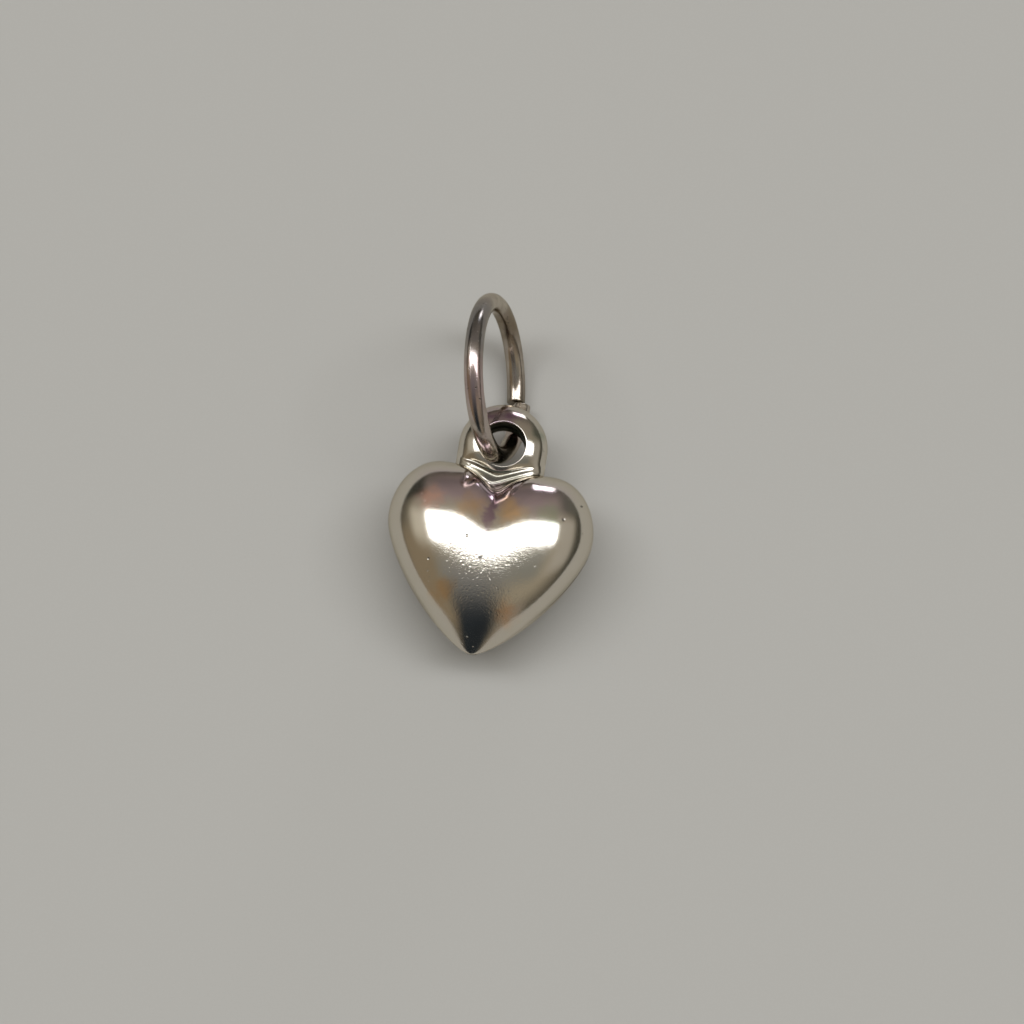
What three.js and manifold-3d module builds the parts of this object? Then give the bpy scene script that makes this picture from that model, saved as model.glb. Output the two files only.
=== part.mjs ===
// A small puffed-heart pendant in polished silver, lying on its back with its jump ring propped in the eye.
// Two stamped half shells, each with half of the hanging eye, are soldered together round the rim.
// Millimetres. X is the heart's width, +Y runs from the tip to the eye, +Z is up out of the front face.

import * as THREE from "three";
import { mergeVertices } from "three/addons/utils/BufferGeometryUtils.js";
import Module from "manifold-3d";

const wasm = await Module();
wasm.setup();

// Heart, measured from the crown: the highest point of the dome
const HEART_WIDTH = 10.0;
const HEART_THICKNESS = 5.6;
const TIP_DROP = 5.55;
const SHOULDER_RISE = 0.7;
const LOBE_RISE = 3.61;
const LOBE_SPACING = 5.4;
const CLEFT_DEPTH = 1.15;
const TIP_ROUNDING = 1.0;
const CROWN_TIP_ROUNDING = 3.2;
const FLANK_FULLNESS = 2.22;
const CLEFT_STEEPNESS = 0.45;

// Stamped sheet, the flat that lying has worn on the back's crown, and the solder between the two halves
const WALL = 0.35;
const BACK_WEAR = 0.05;
const SOLDER_THICKNESS = 0.12;
const SOLDER_SETBACK = 0.05;

// Eye: a domed collar round a hole
const EYE_DIAMETER = 4.34;
const EYE_RISE = 1.1;
const EYE_THICKNESS = 2.1;
const EYE_LIP_DROP = 0.2;
const EYE_VENT = 0.5;

// Neck: straight sides from the eye down to the lobes, stepped down twice along shallow Vs into the cleft
const NECK_UPPER_THICKNESS = 2.0;
const NECK_UPPER_DROP = 1.54;
const NECK_UPPER_SLOPE = THREE.MathUtils.degToRad(18);
const NECK_LOWER_THICKNESS = 1.6;
const NECK_LOWER_DROP = 2.1;
const NECK_LOWER_SLOPE = THREE.MathUtils.degToRad(24);
const NECK_FOOT_THICKNESS = 1.2;
const NECK_EDGE = 0.5;

// Jump ring: round wire, bent to a circle and cut once, its ends left a little out of line
const WIRE_DIAMETER = 0.9;
const RING_INSIDE = 6.5;
const RING_CUT = 0.12;
const RING_END_OFFSET = 0.4;
const RING_END_BEND = 0.3;
const RING_RUNNING_CLEARANCE = 0.06;

// How the ring lies: swung about the eye, leaning over, and cut close to where it touches the table
const RING_SWING = THREE.MathUtils.degToRad(7.3);
const RING_LEAN = THREE.MathUtils.degToRad(15.9);
const RING_CUT_ANGLE = THREE.MathUtils.degToRad(264);

// Superellipse power of the dome: 2 is an ellipse, and lower is closer to a straight ridge
const DOME_POWER = 2.0;
const TIP_POWER = 1.35;
const TIP_POWER_SPREAD = 6;

// Facets
const FLANK_STEPS = 14;
const LOBE_STEPS = 9;
const DOME_STEPS = 10;
const EYE_SEGMENTS = 48;
const ARC_STEPS = 6;
const WIRE_SIDES = 14;
const RING_STEPS = 72;
const LIP_SAMPLES = 400;

// A quarter circle's handle length, as a share of its radius, in a cubic curve
const QUARTER_HANDLE = 0.5523;

// How far the heart's pointed tip moves in when both of its flanks move in by one
const TIP_MITRE = 1.35;

// How far a cutting solid runs past the surface that it cuts through
const CUT_MARGIN = 0.5;

const ringRadius = (RING_INSIDE + WIRE_DIAMETER) / 2;
const wireRadius = WIRE_DIAMETER / 2;
const eyeRadius = EYE_DIAMETER / 2;
const eyeY = LOBE_RISE + EYE_RISE;
const halfSolder = SOLDER_THICKNESS / 2;
const shellDepth = HEART_THICKNESS / 2 - halfSolder;
const eyeDepth = EYE_THICKNESS / 2 - halfSolder;
const lipDepth = eyeDepth - EYE_LIP_DROP;
const neckFootY = LOBE_RISE - CLEFT_DEPTH - 2 * WALL;

// Materials
const shellSilver = new THREE.MeshStandardMaterial({ color: 0xd8d2c6, metalness: 1, roughness: 0.16 });
const wireSilver = new THREE.MeshStandardMaterial({ color: 0xcfc9be, metalness: 1, roughness: 0.2 });
const solderSilver = new THREE.MeshStandardMaterial({ color: 0xa59e92, metalness: 1, roughness: 0.4 });

// A closed three.js geometry as a solid that can be joined and cut.
function solidFrom(geometry) {
  const bare = geometry.index ? geometry.toNonIndexed() : geometry.clone();
  bare.deleteAttribute("normal");
  bare.deleteAttribute("uv");
  const merged = mergeVertices(bare, 1e-5);
  const mesh = new wasm.Mesh({
    numProp: 3,
    vertProperties: merged.attributes.position.array,
    triVerts: new Uint32Array(merged.index.array),
  });
  return new wasm.Manifold(mesh);
}

// A solid as a geometry that a mesh can hold.
function geometryFrom(solid) {
  const mesh = solid.getMesh();
  const geometry = new THREE.BufferGeometry();
  geometry.setAttribute("position", new THREE.BufferAttribute(mesh.vertProperties, 3));
  geometry.setIndex(new THREE.BufferAttribute(mesh.triVerts, 1));
  return geometry;
}

// The right half of the heart's outline, from the tip up the flank, round the lobe and down to the cleft.
// The angle is how far up the dome it is: 0 at the rim. Higher up, the cleft is shallower and the tip is
// rounder. The inset makes it a heart that lies that far inside.
function halfHeart(angle, inset) {
  const cleftDepth = CLEFT_DEPTH * Math.cos(angle);
  const tipRounding = TIP_ROUNDING + (CROWN_TIP_ROUNDING - TIP_ROUNDING) * Math.sin(angle);
  const tip = new THREE.Vector2(0, TIP_MITRE * inset - TIP_DROP);
  const shoulder = new THREE.Vector2(HEART_WIDTH / 2 - inset, SHOULDER_RISE);
  const lobe = new THREE.Vector2(LOBE_SPACING / 2, LOBE_RISE - inset);
  const cleft = new THREE.Vector2(0, lobe.y - cleftDepth);
  const lobeWidth = shoulder.x - lobe.x;
  const lobeHeight = lobe.y - shoulder.y;
  const flank = new THREE.CubicBezierCurve(
    tip,
    new THREE.Vector2(tipRounding, tip.y),
    new THREE.Vector2(shoulder.x, shoulder.y - FLANK_FULLNESS),
    shoulder,
  );
  const round = new THREE.CubicBezierCurve(
    shoulder,
    new THREE.Vector2(shoulder.x, shoulder.y + QUARTER_HANDLE * lobeHeight),
    new THREE.Vector2(lobe.x + QUARTER_HANDLE * lobeWidth, lobe.y),
    lobe,
  );
  const fall = new THREE.CubicBezierCurve(
    lobe,
    new THREE.Vector2(lobe.x - QUARTER_HANDLE * lobe.x, lobe.y),
    new THREE.Vector2((QUARTER_HANDLE * lobe.x) / 2, cleft.y + CLEFT_STEEPNESS * cleftDepth),
    cleft,
  );
  return [
    ...flank.getPoints(FLANK_STEPS),
    ...round.getPoints(LOBE_STEPS).slice(1),
    ...fall.getPoints(LOBE_STEPS).slice(1),
  ];
}

// The whole outline, anticlockwise from the tip.
function heartOutline(angle, inset) {
  const right = halfHeart(angle, inset);
  const left = right.slice(1, -1).reverse();
  return [...right, ...left.map((point) => new THREE.Vector2(-point.x, point.y))];
}

// Superellipse power of the dome's meridian that ends at an outline point: lower near the rim at the tip.
function meridianPower(point, angle) {
  const towardsTip = Math.max(0, -point.y / point.length());
  const sharpness = Math.pow(towardsTip, TIP_POWER_SPREAD) * Math.cos(angle) ** 2;
  return DOME_POWER - (DOME_POWER - TIP_POWER) * sharpness;
}

// Half a puffed heart standing on its flat rim: heart sections that shrink to the crown as they rise.
// A skirt carries the rim straight down below height 0.
function heartDome(depth, inset, skirt) {
  const rim = heartOutline(0, inset);
  const rings = skirt > 0 ? [rim.map((point) => new THREE.Vector3(point.x, point.y, -skirt))] : [];
  for (let step = 0; step < DOME_STEPS; step++) {
    const angle = (Math.PI / 2) * (step / DOME_STEPS);
    const outline = heartOutline(angle, inset);
    rings.push(
      outline.map((point) => {
        const power = 2 / meridianPower(point, angle);
        const shrink = Math.pow(Math.cos(angle), power);
        const rise = depth * Math.pow(Math.sin(angle), power);
        return new THREE.Vector3(point.x * shrink, point.y * shrink, rise);
      }),
    );
  }
  const count = rings[0].length;
  const vertices = rings.flat();
  const crown = vertices.push(new THREE.Vector3(0, 0, depth)) - 1;
  const floor = vertices.push(new THREE.Vector3(0, 0, -skirt)) - 1;
  const triangles = [];
  const top = (rings.length - 1) * count;
  for (let i = 0; i < count; i++) {
    const next = (i + 1) % count;
    for (let ring = 0; ring < top; ring += count) {
      triangles.push(ring + i, ring + next, ring + count + next);
      triangles.push(ring + i, ring + count + next, ring + count + i);
    }
    triangles.push(top + i, top + next, crown);
    triangles.push(next, i, floor);
  }
  const geometry = new THREE.BufferGeometry().setFromPoints(vertices);
  geometry.setIndex(triangles);
  return solidFrom(geometry);
}

// A bar with rounded shoulders, from the eye's axis down to the neck's foot.
function neckBar(thickness, inset, skirt) {
  const depth = thickness / 2 - halfSolder - inset;
  const reach = eyeRadius - inset;
  const section = new THREE.Shape();
  section.moveTo(-reach, -skirt);
  section.lineTo(reach, -skirt);
  section.absellipse(reach - NECK_EDGE, 0, NECK_EDGE, depth, 0, Math.PI / 2, false);
  section.absellipse(NECK_EDGE - reach, 0, NECK_EDGE, depth, Math.PI / 2, Math.PI, false);
  section.closePath();
  const bar = new THREE.ExtrudeGeometry(section, {
    depth: eyeY - neckFootY,
    curveSegments: ARC_STEPS / 2,
    bevelEnabled: false,
  });
  bar.rotateX(Math.PI / 2);
  bar.translate(0, eyeY, 0);
  return solidFrom(bar);
}

// One step of the neck: a bar cut off below along a V that points into the cleft.
function neckStep(thickness, drop, slope, inset, skirt) {
  const apex = eyeY - drop + inset / Math.cos(slope);
  const side = EYE_DIAMETER;
  const outline = new THREE.Shape();
  outline.moveTo(0, apex);
  outline.lineTo(side, apex + side * Math.tan(slope));
  outline.lineTo(side, eyeY + side);
  outline.lineTo(-side, eyeY + side);
  outline.lineTo(-side, apex + side * Math.tan(slope));
  outline.closePath();
  const keep = new THREE.ExtrudeGeometry(outline, { depth: 2 * EYE_THICKNESS, bevelEnabled: false });
  keep.translate(0, 0, -EYE_THICKNESS);
  return neckBar(thickness, inset, skirt).intersect(solidFrom(keep));
}

// The neck's two steps and the foot that runs down into the lobes.
function neck(inset, skirt) {
  return neckBar(NECK_FOOT_THICKNESS, inset, skirt)
    .add(neckStep(NECK_LOWER_THICKNESS, NECK_LOWER_DROP, NECK_LOWER_SLOPE, inset, skirt))
    .add(neckStep(NECK_UPPER_THICKNESS, NECK_UPPER_DROP, NECK_UPPER_SLOPE, inset, skirt));
}

// The outline of the eye and neck at the seam: a half circle on straight sides that run down into the lobes.
function eyeOutline(inset) {
  const radius = eyeRadius - inset;
  const shape = new THREE.Shape();
  shape.moveTo(-radius, neckFootY);
  shape.lineTo(radius, neckFootY);
  shape.absarc(0, eyeY, radius, 0, Math.PI, false);
  shape.closePath();
  return shape;
}

// A turned solid on the eye's axis, from a profile of radius and height that starts and ends on the axis.
function turnedOnEye(profile) {
  const geometry = new THREE.LatheGeometry(profile, EYE_SEGMENTS);
  geometry.rotateX(Math.PI / 2);
  geometry.translate(0, eyeY, 0);
  return solidFrom(geometry);
}

// A plain disc on the eye's axis between two heights.
function eyeDisc(radius, low, high) {
  return turnedOnEye([
    new THREE.Vector2(0, low),
    new THREE.Vector2(radius, low),
    new THREE.Vector2(radius, high),
    new THREE.Vector2(0, high),
  ]);
}

// Part of an ellipse round a point on the profile of the eye.
function profileArc(radius, height, across, up, start, end) {
  return new THREE.EllipseCurve(radius, height, across, up, start, end, end < start).getPoints(ARC_STEPS);
}

// The eye's outside: from its rim up over a rounded flank to the crest, and flat across.
function eyeDome(crest, inset, skirt) {
  const radius = eyeRadius - inset;
  const depth = eyeDepth - inset;
  const foot = [new THREE.Vector2(0, -skirt)];
  if (skirt > 0) foot.push(new THREE.Vector2(radius, -skirt));
  const flank = profileArc(crest, 0, radius - crest, depth, 0, Math.PI / 2);
  return turnedOnEye([...foot, ...flank, new THREE.Vector2(0, depth)]);
}

// What is cut out of the eye: a straight hole, rounded over at the lip up to the crest.
function eyeBore(crest) {
  const drop = eyeDepth - lipDepth;
  const lip = profileArc(crest, lipDepth, crest - holeRadius, drop, Math.PI, Math.PI / 2);
  return turnedOnEye([
    new THREE.Vector2(0, -CUT_MARGIN),
    new THREE.Vector2(holeRadius, -CUT_MARGIN),
    ...lip,
    new THREE.Vector2(crest, EYE_THICKNESS),
    new THREE.Vector2(0, EYE_THICKNESS),
  ]);
}

// The directions of the ring's plane: outwards from the eye, up the leaning plane, and along the ring's axis.
const outwards = new THREE.Vector3(-Math.sin(RING_SWING), Math.cos(RING_SWING), 0);
const sideways = new THREE.Vector3(-Math.cos(RING_SWING), -Math.sin(RING_SWING), 0);
const upwards = new THREE.Vector3(0, 0, Math.cos(RING_LEAN)).addScaledVector(sideways, Math.sin(RING_LEAN));
const ringAxis = new THREE.Vector3().crossVectors(outwards, upwards);

// The jump ring's centre line: one turn from the cut. The first end is bent aside along the ring's axis,
// over the given share of the turn, so that the two ends are out of line.
class JumpRingLine extends THREE.Curve {
  constructor(centre) {
    super();
    this.centre = centre;
  }

  angleAt(t) {
    const cutAngle = RING_CUT / ringRadius;
    return RING_CUT_ANGLE - cutAngle / 2 - t * (2 * Math.PI - cutAngle);
  }

  radialAt(t) {
    const radial = outwards.clone().multiplyScalar(Math.cos(this.angleAt(t)));
    return radial.addScaledVector(upwards, Math.sin(this.angleAt(t)));
  }

  getPoint(t, target = new THREE.Vector3()) {
    const bend = Math.max(0, 1 - t / RING_END_BEND);
    return target
      .copy(this.centre)
      .addScaledVector(this.radialAt(t), ringRadius)
      .addScaledVector(ringAxis, RING_END_OFFSET * bend ** 2);
  }
}

// The ring stands on the table: its height over the heart's mid plane, which is at height 0.
const ringHeight = ringRadius * Math.cos(RING_LEAN) + wireRadius - (HEART_THICKNESS / 2 - BACK_WEAR);

// Where the wire's surface is in the eye, up to a height in front and behind, with the ring's centre
// over the origin.
function wireWithin(height) {
  const line = new JumpRingLine(new THREE.Vector3(0, 0, ringHeight));
  const found = [];
  for (let step = 0; step <= LIP_SAMPLES; step++) {
    const t = step / LIP_SAMPLES;
    const centre = line.getPoint(t);
    if (line.radialAt(t).dot(outwards) > 0) continue;
    for (let side = 0; side < LIP_SAMPLES / 8; side++) {
      const turn = (2 * Math.PI * side) / (LIP_SAMPLES / 8);
      const point = centre.clone();
      point.addScaledVector(line.radialAt(t), wireRadius * Math.cos(turn));
      point.addScaledVector(ringAxis, wireRadius * Math.sin(turn));
      if (Math.abs(point.z) <= height) found.push(new THREE.Vector2(point.x, point.y));
    }
  }
  return found;
}

// The ring is placed so that its wire crosses the middle of the eye, half way up the rounding of its lips.
// The hole is as wide as that slanting wire needs between the lips, plus a running clearance.
const crossing = new THREE.Box2().setFromPoints(wireWithin(EYE_THICKNESS / 2 - EYE_LIP_DROP / 2));
const crossingMiddle = crossing.getCenter(new THREE.Vector2());
const ringCentre = new THREE.Vector3(-crossingMiddle.x, eyeY - crossingMiddle.y, ringHeight);
const betweenLips = wireWithin(EYE_THICKNESS / 2 - EYE_LIP_DROP);
const wireReach = Math.max(...betweenLips.map((point) => point.distanceTo(crossingMiddle)));
const holeRadius = wireReach + RING_RUNNING_CLEARANCE;

// One stamped half: heart, neck and eye, hollowed to the sheet's thickness, with the hole's wall turned in.
// The turned-in wall stops short of the other half's, and that slot vents the hollow.
function stampedHalf() {
  const crest = (holeRadius + eyeRadius) / 2;
  const skin = heartDome(shellDepth, 0, 0)
    .add(neck(0, 0))
    .add(eyeDome(crest, 0, 0));
  const hollow = heartDome(shellDepth - WALL, WALL, CUT_MARGIN)
    .add(neck(WALL, CUT_MARGIN))
    .add(eyeDome(crest, WALL, CUT_MARGIN))
    .subtract(eyeDisc(holeRadius + WALL, -2 * CUT_MARGIN, EYE_THICKNESS));
  const vent = eyeDisc(holeRadius + WALL + CUT_MARGIN / 2, -CUT_MARGIN, EYE_VENT / 2 - halfSolder);
  return skin.subtract(hollow).subtract(eyeBore(crest)).subtract(vent).translate([0, 0, halfSolder]);
}

// A half with its crown worn flat.
function wornFlat(half) {
  const block = new THREE.BoxGeometry(HEART_WIDTH, HEART_WIDTH, HEART_THICKNESS);
  block.translate(0, 0, HEART_THICKNESS - BACK_WEAR);
  return half.subtract(solidFrom(block));
}

// An outline as a slab of solder thickness about the mid plane.
function slab(shape) {
  const geometry = new THREE.ExtrudeGeometry(shape, {
    depth: SOLDER_THICKNESS,
    curveSegments: EYE_SEGMENTS / 4,
    bevelEnabled: false,
  });
  geometry.translate(0, 0, -halfSolder);
  return solidFrom(geometry);
}

// The solder: a flat ribbon between the two rims, all round the heart and the eye, set back from the edge.
function solderRibbon() {
  const outlines = (inset) =>
    slab(new THREE.Shape(heartOutline(0, inset))).add(slab(eyeOutline(inset)));
  return geometryFrom(outlines(SOLDER_SETBACK).subtract(outlines(WALL)));
}

// Round wire along the jump ring's centre line.
function ringWire() {
  const section = new THREE.Shape();
  section.absarc(0, 0, wireRadius, 0, 2 * Math.PI, false);
  return new THREE.ExtrudeGeometry(section, {
    extrudePath: new JumpRingLine(ringCentre),
    steps: RING_STEPS,
    curveSegments: WIRE_SIDES / 2,
    bevelEnabled: false,
  });
}

function piece(name, geometry, material) {
  const mesh = new THREE.Mesh(geometry, material);
  mesh.name = name;
  return mesh;
}

const half = stampedHalf();
const lying = new THREE.Group();
lying.add(piece("front_shell", geometryFrom(half), shellSilver));
lying.add(piece("back_shell", geometryFrom(wornFlat(half)).rotateY(Math.PI), shellSilver));
lying.add(piece("solder_seam", solderRibbon(), solderSilver));
lying.add(piece("jump_ring", ringWire(), wireSilver));

// The origin is under the middle of the pendant, on the table that it lies on.
const pendant = new THREE.Group();
pendant.add(lying);
const bounds = new THREE.Box3().setFromObject(lying, true);
const middle = bounds.getCenter(new THREE.Vector3());
lying.position.set(-middle.x, -middle.y, -bounds.min.z);

export default pendant;
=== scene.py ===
# %% [markdown]
# # A puffed silver heart on its jump ring
#
# The pendant is a small hollow heart, pressed as two thin silver halves that are soldered together
# round the rim. Above the cleft both halves run up into a domed eye, and an open ring of round
# wire hangs in its hole. The construction is loaded first and stays as it is. Each of its four
# pieces then gets a finer surface in the same place, worked out as whole numpy arrays, and a worn
# silver finish made of shader nodes.

# %% Load the construction
import bpy
import numpy as np
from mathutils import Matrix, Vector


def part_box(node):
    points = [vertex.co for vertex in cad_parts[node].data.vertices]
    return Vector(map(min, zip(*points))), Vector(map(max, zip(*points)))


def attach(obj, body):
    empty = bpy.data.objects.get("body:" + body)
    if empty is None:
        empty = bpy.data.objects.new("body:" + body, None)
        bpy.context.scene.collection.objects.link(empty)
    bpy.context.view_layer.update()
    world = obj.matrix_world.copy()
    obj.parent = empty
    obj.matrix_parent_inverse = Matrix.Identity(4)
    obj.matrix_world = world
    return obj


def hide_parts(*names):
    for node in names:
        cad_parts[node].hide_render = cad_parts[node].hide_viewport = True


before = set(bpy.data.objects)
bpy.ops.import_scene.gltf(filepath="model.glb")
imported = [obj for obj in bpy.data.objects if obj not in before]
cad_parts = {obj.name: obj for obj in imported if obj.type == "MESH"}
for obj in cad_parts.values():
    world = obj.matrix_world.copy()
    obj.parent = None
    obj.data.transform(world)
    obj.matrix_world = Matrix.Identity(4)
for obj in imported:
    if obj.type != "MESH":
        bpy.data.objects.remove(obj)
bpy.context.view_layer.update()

MM = 0.001

# %% [markdown]
# ## Sizes
#
# The main sizes come from the construction's own boxes, so the finer surfaces stay where the solids
# are. Two that a box can't tell are given here in millimetres, and the others where they are first
# needed. The heart is described in a frame of its own: the origin is under the crown at the height
# of the seam, x goes to the right lobe, y goes up to the eye and z comes out of the front.

# %% Sizes from the boxes
TIP_DROP = 5.55
EYE_RADIUS = 2.17


def node_box(name):
    """A node's lowest and highest corners, in millimetres."""
    return [np.array(corner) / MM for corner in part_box(name)]


front_low, front_high = node_box("front_shell")
back_low = node_box("back_shell")[0]
seam_low, seam_high = node_box("solder_seam")
HALF_WIDTH = front_high[0]
DOME_DEPTH = front_high[2] - front_low[2]
HALF_SOLDER = (seam_high[2] - seam_low[2]) / 2
crown = np.array([0.0, front_low[1] + TIP_DROP, (seam_low[2] + seam_high[2]) / 2])
EYE_Y = front_high[1] - EYE_RADIUS - crown[1]
print("crown at", np.round(crown, 3), "mm and the eye's middle", round(EYE_Y, 3), "mm above it")

# %% [markdown]
# ## The heart's outline
#
# A puffed heart has no flat top: cut at any height it is a heart again, smaller and with a shallower
# cleft, until the crown is a smooth dome. A drawn curve would do for one outline, but not for one
# that changes with every height. So the outline is a function of the dome angle, 0 at the rim and a
# right angle at the crown. Each side is three cubic curves, for the flank, the round of the lobe and
# the fall into the cleft. Points in the plan are complex numbers, x + iy, which keeps the arithmetic
# short and makes the left side the mirrored conjugate of the right one.

# %% The outline as a function of the dome angle
SHOULDER_RISE = 0.70
LOBE_X, LOBE_RISE = 2.70, 3.61
CLEFT_DEPTH, CLEFT_STEEPNESS = 1.15, 0.45
FLANK_HANDLE, TIP_HANDLE, CROWN_TIP_HANDLE = 2.22, 1.0, 3.2
QUARTER_HANDLE = 0.5523  # the handle that turns a cubic into a quarter of a circle of radius 1
TIP_MITRE = 1.35  # how much further an inset moves the tip than the sides
FLANK_COUNT, ROUND_COUNT, FALL_COUNT = 800, 420, 300
HALF_COUNT = FLANK_COUNT + ROUND_COUNT + FALL_COUNT


def cubic(a, b, c, d, t):
    """A cubic curve: its four points weighed by the cubes and products of t and 1 - t."""
    s = 1 - t
    return a * s**3 + 3 * b * t * s**2 + 3 * c * t**2 * s + d * t**3


def heart_outline(angle, inset):
    """The closed outline at each dome angle, one row an angle, from the tip round by the right lobe.

    The cleft shrinks as the cosine of the angle, and the tip grows rounder as its sine."""
    cleft_depth = CLEFT_DEPTH * np.cos(angle)
    tip_handle = TIP_HANDLE + (CROWN_TIP_HANDLE - TIP_HANDLE) * np.sin(angle)
    tip = 1j * (TIP_MITRE * inset - TIP_DROP) + 0 * angle
    shoulder = HALF_WIDTH - inset + 1j * SHOULDER_RISE
    lobe = LOBE_X + 1j * (LOBE_RISE - inset)
    cleft = 1j * (lobe.imag - cleft_depth)
    up = 1j * QUARTER_HANDLE * (lobe.imag - shoulder.imag)
    across = QUARTER_HANDLE * (shoulder.real - lobe.real)
    into = QUARTER_HANDLE * LOBE_X / 2 + cleft + 1j * CLEFT_STEEPNESS * cleft_depth
    flank_t, round_t, fall_t = [
        np.linspace(0, 1, count, endpoint=False) for count in (FLANK_COUNT, ROUND_COUNT, FALL_COUNT)]
    right = np.hstack([
        cubic(tip, tip + tip_handle, shoulder - 1j * FLANK_HANDLE, shoulder + 0 * angle, flank_t),
        cubic(shoulder, shoulder + up, lobe + across, lobe, round_t) + 0 * angle,
        cubic(lobe + 0 * angle, lobe - QUARTER_HANDLE * LOBE_X, into, cleft, fall_t),
        cleft,
    ])
    return np.hstack([right, -np.conj(right[:, -2:0:-1])])


print("one side of the outline has", HALF_COUNT, "samples")

# %% The outline with its corners rounded
ROUNDING = 20
RIM_ANGLE = np.zeros((1, 1))


def rounded_outline(angle, inset):
    """The outline smoothed along its length by a bell of ROUNDING samples.

    Its frequencies are multiplied by the bell's own, which is another bell."""
    outline = heart_outline(angle, inset)
    frequency = np.fft.fftfreq(outline.shape[1])
    kept = np.exp(-2 * (np.pi * ROUNDING * frequency) ** 2)
    return np.fft.ifft(np.fft.fft(outline, axis=1) * kept, axis=1)


rim = rounded_outline(RIM_ANGLE, 0.0)[0]
print("outline of", len(rim), "points, width", round(float(np.ptp(rim.real)), 3), "mm")

# %% [markdown]
# ## The dome
#
# A pressed half is nearly an ellipse in section, so the plan shrinks as the cosine of the dome angle
# and the height grows as its sine. Towards the tip the metal was drawn out into a keel, and there
# both are raised to a power above one, which makes the section a little straighter. The press also
# left a shallow valley above the crown and full shoulders beside the neck. Modelling this by hand
# with a subdivided cage would be quick, but its crown would never be as even as a formula's, and
# polished silver shows every dent.

# %% Steps, quarters and blends
TINY = 1e-6


def smooth_step(t):
    """0 below 0, 1 above 1, and 3t^2 - 2t^3 between."""
    t = np.clip(t, 0, 1)
    return t * t * (3 - 2 * t)


def quarter(t):
    """The height of a quarter circle that falls from 1 at t = 0 to 0 at t = 1."""
    return np.sqrt(1 - np.clip(t, 0, 1) ** 2)


def smooth_max(a, b, reach):
    """The larger of two heights, plus a cubic fillet where they differ by less than reach."""
    near = np.clip(1 - np.abs(a - b) / np.maximum(reach, TINY), 0, 1)
    return np.maximum(a, b) + reach * near**3 / 6


def smooth_min(a, b, reach):
    """The smaller of two heights, rounded in the same way: the smooth maximum of both turned over."""
    return -smooth_max(-a, -b, reach)


print("at a half, a smooth step is", smooth_step(0.5), "and a quarter circle", quarter(0.5).round(3))

# %% The valley and the shoulders
VALLEY_DEPTH, VALLEY_START, VALLEY_WIDTH = 0.0165, -2.85, 1.12
VALLEY_REACH, VALLEY_EASING = 4.3, 1.0
CREASE_Y, CREASE_SLOPE, CREASE_ROUND = 2.42, 0.60, 0.25
SHOULDER_GAIN, SHOULDER_REACH = 0.17, 1.4
SHOULDER_SIDE, SHOULDER_FADE = 1.5, 1.5


def valley_depth(plan):
    """How far the press sank the middle: a bell across, times the square of the way up from its start.

    Past its reach the way up counts no further, so the valley runs level into the crease."""
    rise = np.clip(plan.imag - VALLEY_START, 0, None)
    rise = smooth_min(rise, VALLEY_REACH, VALLEY_EASING)
    return VALLEY_DEPTH * rise**2 * np.exp(-((plan.real / VALLEY_WIDTH) ** 2))


def shoulder_height(plan):
    """How much fuller the lobes are beside the neck: the square of the way up to the V-shaped crease.

    The crease's arms rise by its slope from a rounded apex. Towards the outer sides it fades."""
    line = CREASE_Y + CREASE_SLOPE * (np.hypot(plan.real, CREASE_ROUND) - CREASE_ROUND)
    below = (line - plan.imag) / np.hypot(1, CREASE_SLOPE)
    near = np.clip(SHOULDER_REACH - below, 0, SHOULDER_REACH)
    return SHOULDER_GAIN * near**2 * (1 - smooth_step((np.abs(plan.real) - SHOULDER_SIDE) / SHOULDER_FADE))


crease_foot = np.complex128(1j * CREASE_Y)
print("at the crease the valley is", valley_depth(crease_foot).round(3), "mm deep,",
      "and the shoulders", shoulder_height(crease_foot).round(3), "mm full")

# %% The dome of one half
TIP_POWER_LOSS, TIP_POWER_SPREAD = 0.80, 5
SHOULDER_FOOT, VALLEY_FOOT = 1.2, 1.5


def dome(angle, inset, picks, valley):
    """Plan and height of the dome: the outline times cos(angle)^e, and the depth times sin(angle)^e.

    The power e is 1, and grows on the side that faces the tip, most of all near the rim. The shoulders
    are added and, where valley is 1 and not 0, the valley is taken off. Both fade out at the rim."""
    outline = rounded_outline(angle, inset)[:, picks]
    towards_tip = np.clip(-outline.imag / np.abs(outline), 0, None)
    loss = TIP_POWER_LOSS * towards_tip**TIP_POWER_SPREAD * np.cos(angle) ** 2
    power = 2 / (2 - loss)
    plan = outline * np.cos(angle) ** power
    height = (DOME_DEPTH - inset) * np.sin(angle) ** power
    full = shoulder_height(plan) * smooth_step(height / SHOULDER_FOOT)
    return plan, height + full - valley * valley_depth(plan) * smooth_step(height / VALLEY_FOOT)


half_way = dome(RIM_ANGLE + np.pi / 4, 0.0, slice(None), 1.0)
print("half-way up, the dome is", np.ptp(half_way[0].real).round(3), "mm wide")

# %% Columns round the heart
FLANK_COLUMNS, ROUND_COLUMNS, SHOULDER_COLUMNS, CLEFT_COLUMNS = 100, 60, 16, 56


def outline_picks(inset):
    """Which outline points become columns: fewer on the long flank, and one where the eye's side meets.

    Both walls of a half have as many columns, so that they can be joined rim to rim."""
    fall_start = FLANK_COUNT + ROUND_COUNT
    fall = rounded_outline(RIM_ANGLE, inset)[0, fall_start : HALF_COUNT + 1].real
    corner = int(np.argmin(np.abs(fall - (EYE_RADIUS - inset))))
    half = np.round(np.hstack([
        np.linspace(0, FLANK_COUNT, FLANK_COLUMNS, endpoint=False),
        np.linspace(FLANK_COUNT, fall_start, ROUND_COLUMNS, endpoint=False),
        fall_start + np.linspace(0, corner, SHOULDER_COLUMNS, endpoint=False),
        fall_start + np.linspace(corner, FALL_COUNT, CLEFT_COLUMNS + 1),
    ])).astype(int)
    return np.hstack([half, 2 * HALF_COUNT - half[-2:0:-1]])


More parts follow.
